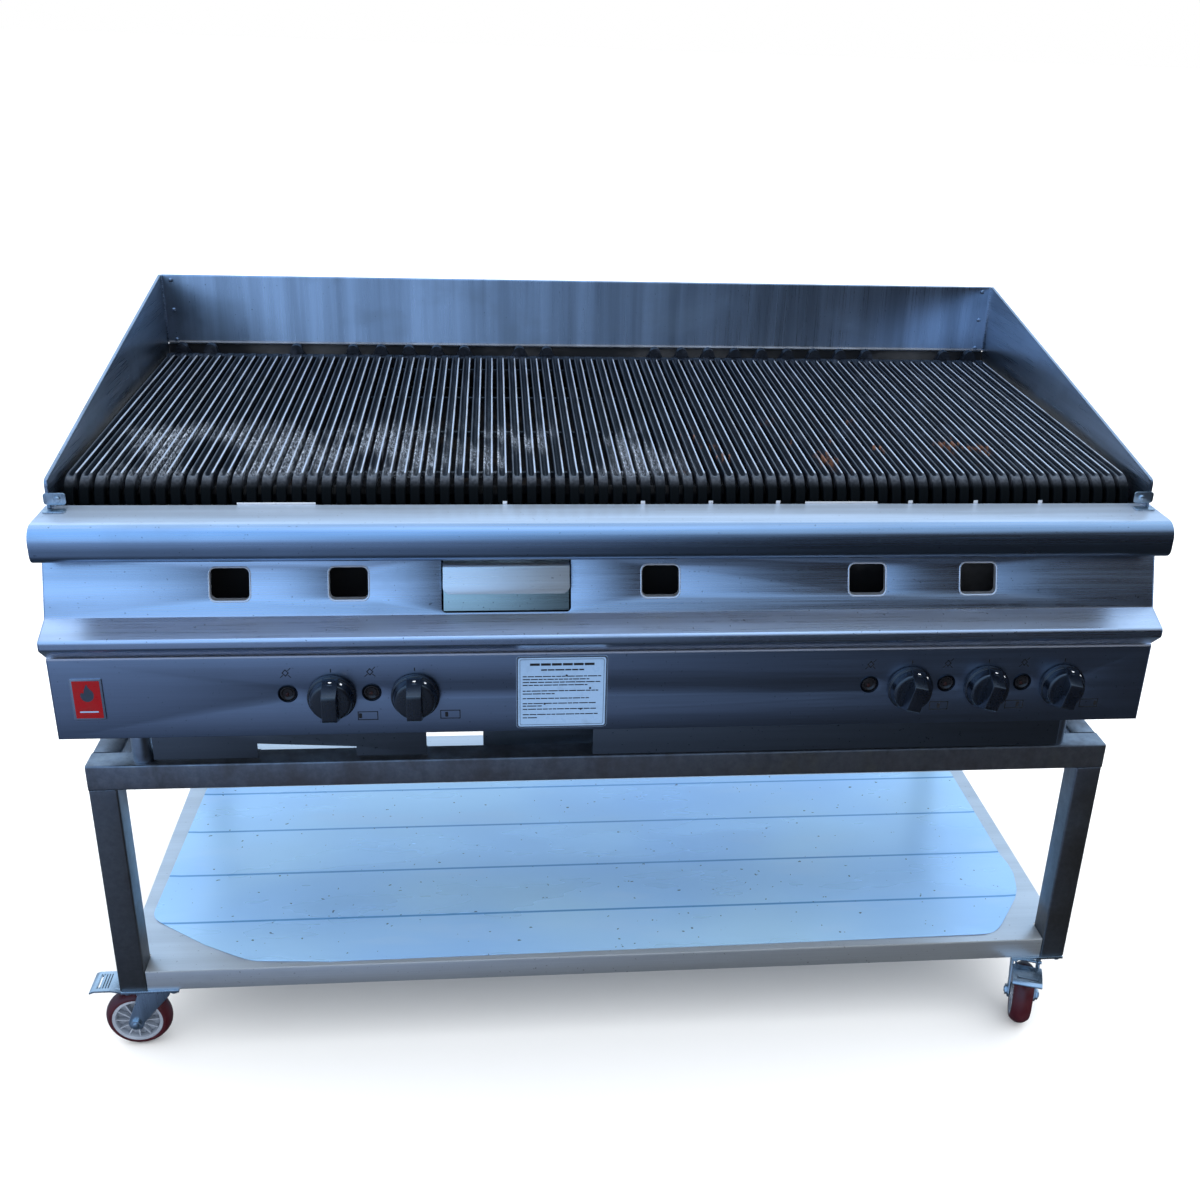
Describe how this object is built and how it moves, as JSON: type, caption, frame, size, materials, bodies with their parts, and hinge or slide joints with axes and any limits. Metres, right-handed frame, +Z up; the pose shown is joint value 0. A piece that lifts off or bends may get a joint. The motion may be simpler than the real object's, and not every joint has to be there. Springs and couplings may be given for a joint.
{
  "type": "charbroiler grill",
  "caption": "Wide gas charbroiler with loose cast-iron grates, sloped side guards and splashback, a drip drawer and front controls, standing on a mobile tube stand with a shelf.",
  "frame": {"origin": "middle of the footprint on the floor, under the casters", "axes": "+X to the user's right along the front, +Y from the user to the back, +Z up"},
  "size_m": [1.5833, 0.821, 1.062],
  "materials": {
    "steel": "brushed, stained",
    "panel_steel": "brushed, darker",
    "casing_steel": "satin",
    "burner_iron": "rough, sooty",
    "rail_steel": "satin",
    "brass": "machined",
    "button_ring": "polished",
    "label_white": "matte film",
    "badge_red": "gloss",
    "foot_steel": "satin",
    "zinc": "bright zinc",
    "tube_steel": "brushed, weld stained",
    "shelf_steel": "brushed",
    "shelf_film": "glossy protective film",
    "drawer_steel": "brushed",
    "grate_iron": "worn, greasy",
    "knob_plastic": "gloss",
    "button_black": "gloss",
    "tyre_red": "polyurethane",
    "hub_grey": "moulded",
    "print_dark": "printed marks"
  },
  "bodies": {
    "cabinet": {"front_nose": "steel", "fascia": "steel", "control_panel": "panel_steel", "splashback": "steel", "side_guard_left": "steel", "side_guard_right": "steel", "body_casing": "casing_steel", "base_tray": "casing_steel", "burners": "burner_iron", "radiants": "burner_iron", "grate_rails": "rail_steel", "gas_train": "brass", "igniter_housings": "button_ring", "label_plate": "label_white", "badge_plate": "badge_red", "unit_feet": "foot_steel", "fasteners": "zinc", "stand_legs": "tube_steel", "stand_cross_rails": "tube_steel", "stand_side_rails": "tube_steel", "shelf": "shelf_steel", "caster_plates": "zinc"},
    "drip_drawer": {"drip_drawer": "drawer_steel"},
    "grate_01": {"grate_01": "grate_iron"},
    "grate_02": {"grate_02": "grate_iron"},
    "grate_03": {"grate_03": "grate_iron"},
    "grate_04": {"grate_04": "grate_iron"},
    "grate_05": {"grate_05": "grate_iron"},
    "grate_06": {"grate_06": "grate_iron"},
    "grate_07": {"grate_07": "grate_iron"},
    "grate_08": {"grate_08": "grate_iron"},
    "grate_09": {"grate_09": "grate_iron"},
    "grate_10": {"grate_10": "grate_iron"},
    "grate_11": {"grate_11": "grate_iron"},
    "grate_12": {"grate_12": "grate_iron"},
    "grate_13": {"grate_13": "grate_iron"},
    "grate_14": {"grate_14": "grate_iron"},
    "grate_15": {"grate_15": "grate_iron"},
    "knob_1": {"knob_1": "knob_plastic"},
    "igniter_button_1": {"igniter_button_1": "button_black"},
    "knob_2": {"knob_2": "knob_plastic"},
    "igniter_button_2": {"igniter_button_2": "button_black"},
    "knob_3": {"knob_3": "knob_plastic"},
    "igniter_button_3": {"igniter_button_3": "button_black"},
    "knob_4": {"knob_4": "knob_plastic"},
    "igniter_button_4": {"igniter_button_4": "button_black"},
    "knob_5": {"knob_5": "knob_plastic"},
    "igniter_button_5": {"igniter_button_5": "button_black"},
    "caster_fork_front_left": {"caster_fork_front_left": "zinc"},
    "caster_wheel_front_left": {"caster_wheel_front_left": "tyre_red"},
    "brake_pedal_front_left": {"brake_pedal_front_left": "zinc"},
    "caster_fork_front_right": {"caster_fork_front_right": "zinc"},
    "caster_wheel_front_right": {"caster_wheel_front_right": "tyre_red"},
    "brake_pedal_front_right": {"brake_pedal_front_right": "zinc"},
    "caster_fork_rear_left": {"caster_fork_rear_left": "zinc"},
    "caster_wheel_rear_left": {"caster_wheel_rear_left": "tyre_red"},
    "brake_pedal_rear_left": {"brake_pedal_rear_left": "zinc"},
    "caster_fork_rear_right": {"caster_fork_rear_right": "zinc"},
    "caster_wheel_rear_right": {"caster_wheel_rear_right": "tyre_red"},
    "brake_pedal_rear_right": {"brake_pedal_rear_right": "zinc"}
  },
  "joints": [
    {"name": "drip_drawer_slide", "type": "slide", "parent": "cabinet", "child": "drip_drawer", "axis": [0, -1, 0], "range_m": [0, 0.42]},
    {"name": "grate_01_lift", "type": "slide", "parent": "cabinet", "child": "grate_01", "axis": [0, 0, 1], "range_m": [0, 0.2]},
    {"name": "grate_02_lift", "type": "slide", "parent": "cabinet", "child": "grate_02", "axis": [0, 0, 1], "range_m": [0, 0.2]},
    {"name": "grate_03_lift", "type": "slide", "parent": "cabinet", "child": "grate_03", "axis": [0, 0, 1], "range_m": [0, 0.2]},
    {"name": "grate_04_lift", "type": "slide", "parent": "cabinet", "child": "grate_04", "axis": [0, 0, 1], "range_m": [0, 0.2]},
    {"name": "grate_05_lift", "type": "slide", "parent": "cabinet", "child": "grate_05", "axis": [0, 0, 1], "range_m": [0, 0.2]},
    {"name": "grate_06_lift", "type": "slide", "parent": "cabinet", "child": "grate_06", "axis": [0, 0, 1], "range_m": [0, 0.2]},
    {"name": "grate_07_lift", "type": "slide", "parent": "cabinet", "child": "grate_07", "axis": [0, 0, 1], "range_m": [0, 0.2]},
    {"name": "grate_08_lift", "type": "slide", "parent": "cabinet", "child": "grate_08", "axis": [0, 0, 1], "range_m": [0, 0.2]},
    {"name": "grate_09_lift", "type": "slide", "parent": "cabinet", "child": "grate_09", "axis": [0, 0, 1], "range_m": [0, 0.2]},
    {"name": "grate_10_lift", "type": "slide", "parent": "cabinet", "child": "grate_10", "axis": [0, 0, 1], "range_m": [0, 0.2]},
    {"name": "grate_11_lift", "type": "slide", "parent": "cabinet", "child": "grate_11", "axis": [0, 0, 1], "range_m": [0, 0.2]},
    {"name": "grate_12_lift", "type": "slide", "parent": "cabinet", "child": "grate_12", "axis": [0, 0, 1], "range_m": [0, 0.2]},
    {"name": "grate_13_lift", "type": "slide", "parent": "cabinet", "child": "grate_13", "axis": [0, 0, 1], "range_m": [0, 0.2]},
    {"name": "grate_14_lift", "type": "slide", "parent": "cabinet", "child": "grate_14", "axis": [0, 0, 1], "range_m": [0, 0.2]},
    {"name": "grate_15_lift", "type": "slide", "parent": "cabinet", "child": "grate_15", "axis": [0, 0, 1], "range_m": [0, 0.2]},
    {"name": "knob_1_turn", "type": "hinge", "parent": "cabinet", "child": "knob_1", "pos_m": [-0.389, -0.3885, 0.649], "axis": [0, -1, 0], "range_deg": [0, 180]},
    {"name": "igniter_button_1_press", "type": "slide", "parent": "cabinet", "child": "igniter_button_1", "axis": [0, 1, 0], "range_m": [0, 0.004], "stiffness_N_per_m": 600, "springref_m": -0.003},
    {"name": "knob_2_turn", "type": "hinge", "parent": "cabinet", "child": "knob_2", "pos_m": [-0.2785, -0.3885, 0.649], "axis": [0, -1, 0], "range_deg": [0, 180]},
    {"name": "igniter_button_2_press", "type": "slide", "parent": "cabinet", "child": "igniter_button_2", "axis": [0, 1, 0], "range_m": [0, 0.004], "stiffness_N_per_m": 600, "springref_m": -0.003},
    {"name": "knob_3_turn", "type": "hinge", "parent": "cabinet", "child": "knob_3", "pos_m": [0.406, -0.3885, 0.649], "axis": [0, -1, 0], "range_deg": [0, 180]},
    {"name": "igniter_button_3_press", "type": "slide", "parent": "cabinet", "child": "igniter_button_3", "axis": [0, 1, 0], "range_m": [0, 0.004], "stiffness_N_per_m": 600, "springref_m": -0.003},
    {"name": "knob_4_turn", "type": "hinge", "parent": "cabinet", "child": "knob_4", "pos_m": [0.5165, -0.3885, 0.649], "axis": [0, -1, 0], "range_deg": [0, 180]},
    {"name": "igniter_button_4_press", "type": "slide", "parent": "cabinet", "child": "igniter_button_4", "axis": [0, 1, 0], "range_m": [0, 0.004], "stiffness_N_per_m": 600, "springref_m": -0.003},
    {"name": "knob_5_turn", "type": "hinge", "parent": "cabinet", "child": "knob_5", "pos_m": [0.627, -0.3885, 0.649], "axis": [0, -1, 0], "range_deg": [0, 180]},
    {"name": "igniter_button_5_press", "type": "slide", "parent": "cabinet", "child": "igniter_button_5", "axis": [0, 1, 0], "range_m": [0, 0.004], "stiffness_N_per_m": 600, "springref_m": -0.003},
    {"name": "caster_swivel_front_left", "type": "hinge", "parent": "cabinet", "child": "caster_fork_front_left", "pos_m": [-0.6945, -0.282, 0.115], "axis": [0, 0, 1], "continuous": true},
    {"name": "wheel_roll_front_left", "type": "hinge", "parent": "caster_fork_front_left", "child": "caster_wheel_front_left", "pos_m": [-0.7275, -0.282, 0.05], "axis": [0, -1, 0], "continuous": true},
    {"name": "brake_press_front_left", "type": "hinge", "parent": "caster_fork_front_left", "child": "brake_pedal_front_left", "pos_m": [-0.7185, -0.282, 0.1075], "axis": [0, -1, 0], "range_deg": [0, 12]},
    {"name": "caster_swivel_front_right", "type": "hinge", "parent": "cabinet", "child": "caster_fork_front_right", "pos_m": [0.6945, -0.282, 0.115], "axis": [0, 0, 1], "continuous": true},
    {"name": "wheel_roll_front_right", "type": "hinge", "parent": "caster_fork_front_right", "child": "caster_wheel_front_right", "pos_m": [0.68321, -0.31301, 0.05], "axis": [0.9397, -0.342, 0], "continuous": true},
    {"name": "brake_press_front_right", "type": "hinge", "parent": "caster_fork_front_right", "child": "brake_pedal_front_right", "pos_m": [0.68629, -0.30455, 0.1075], "axis": [0.9397, -0.342, 0], "range_deg": [0, 12]},
    {"name": "caster_swivel_rear_left", "type": "hinge", "parent": "cabinet", "child": "caster_fork_rear_left", "pos_m": [-0.6945, 0.332, 0.115], "axis": [0, 0, 1], "continuous": true},
    {"name": "wheel_roll_rear_left", "type": "hinge", "parent": "caster_fork_rear_left", "child": "caster_wheel_rear_left", "pos_m": [-0.72308, 0.3485, 0.05], "axis": [-0.5, -0.866, 0], "continuous": true},
    {"name": "brake_press_rear_left", "type": "hinge", "parent": "caster_fork_rear_left", "child": "brake_pedal_rear_left", "pos_m": [-0.71528, 0.344, 0.1075], "axis": [-0.5, -0.866, 0], "range_deg": [0, 12]},
    {"name": "caster_swivel_rear_right", "type": "hinge", "parent": "cabinet", "child": "caster_fork_rear_right", "pos_m": [0.6945, 0.332, 0.115], "axis": [0, 0, 1], "continuous": true},
    {"name": "wheel_roll_rear_right", "type": "hinge", "parent": "caster_fork_rear_right", "child": "caster_wheel_rear_right", "pos_m": [0.72718, 0.33659, 0.05], "axis": [-0.1392, 0.9903, 0], "continuous": true},
    {"name": "brake_press_rear_right", "type": "hinge", "parent": "caster_fork_rear_right", "child": "brake_pedal_rear_right", "pos_m": [0.71827, 0.33534, 0.1075], "axis": [-0.1392, 0.9903, 0], "range_deg": [0, 12]}
  ]
}
